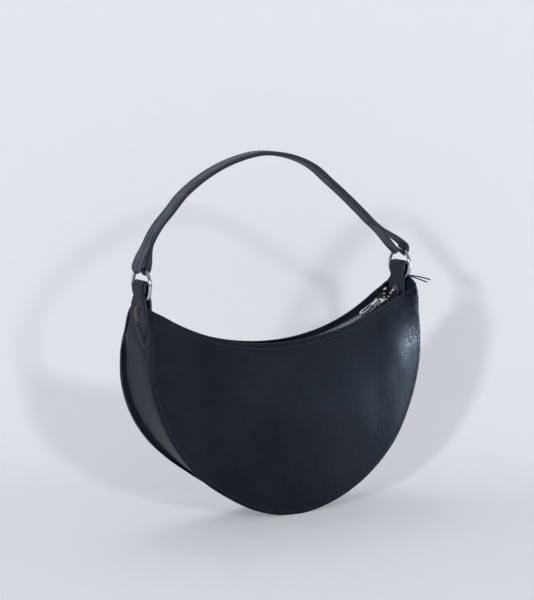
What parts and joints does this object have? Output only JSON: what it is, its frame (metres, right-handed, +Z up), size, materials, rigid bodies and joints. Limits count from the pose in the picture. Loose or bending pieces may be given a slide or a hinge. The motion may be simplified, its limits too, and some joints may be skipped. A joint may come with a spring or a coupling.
{
  "type": "half moon bag",
  "caption": "Half moon leather bag with a gusset, a curved metal zip along its concave mouth and a strap held by rings in folded tabs.",
  "frame": {"origin": "middle of the overall box at its lowest level, under the middle of the bag's cut-flat bottom edges", "axes": "+X runs along the mouth towards the end with the zip's slider, -Y is the front, +Z is up"},
  "size_m": [0.28, 0.06, 0.3119],
  "materials": {
    "leather": "smooth, slightly creased, satin",
    "lining_leather": "smooth matt",
    "ring_steel": "polished",
    "snap_enamel": "dark gloss with a bright rim",
    "snap_steel": "plated",
    "zip_tape": "woven",
    "zip_metal": "bright silver"
  },
  "bodies": {
    "bag": {"front_panel": "leather", "rear_panel": "leather", "gusset": "leather", "left_snap_cap": "snap_enamel", "left_snap_socket": "snap_steel", "left_snap_stud": "snap_steel", "left_snap_post": "snap_steel", "right_snap_cap": "snap_enamel", "right_snap_socket": "snap_steel", "right_snap_stud": "snap_steel", "right_snap_post": "snap_steel", "zip_tape_front": "zip_tape", "zip_tape_rear": "zip_tape", "zip_teeth_front": "zip_metal", "zip_teeth_rear": "zip_metal", "zip_bottom_stop": "zip_metal", "zip_top_stops": "zip_metal"},
    "left_ring": {"left_ring": "ring_steel"},
    "right_ring": {"right_ring": "ring_steel"},
    "handle": {"strap_outer": "leather", "strap_lining": "lining_leather"},
    "zip_slider": {"zip_slider": "zip_metal"},
    "zip_pull": {"zip_pull": "zip_metal"}
  },
  "joints": [
    {"name": "handle_swing", "type": "hinge", "parent": "bag", "child": "handle", "pos_m": [0, 0, 0.206], "axis": [1, 0, 0], "range_deg": [-90, 90]},
    {"name": "left_ring_spin", "type": "hinge", "parent": "bag", "child": "left_ring", "pos_m": [-0.13196, 0, 0.206], "axis": [1, 0, 0], "continuous": true},
    {"name": "right_ring_spin", "type": "hinge", "parent": "bag", "child": "right_ring", "pos_m": [0.13196, 0, 0.206], "axis": [1, 0, 0], "continuous": true},
    {"name": "zip_slide", "type": "hinge", "parent": "bag", "child": "zip_slider", "pos_m": [0, 0, 0.37764], "axis": [0, 1, 0], "range_deg": [0, 52]},
    {"name": "zip_pull", "type": "hinge", "parent": "zip_slider", "child": "zip_pull", "pos_m": [0.10724, 0, 0.17506], "axis": [0, 1, 0], "range_deg": [0, 130]}
  ]
}
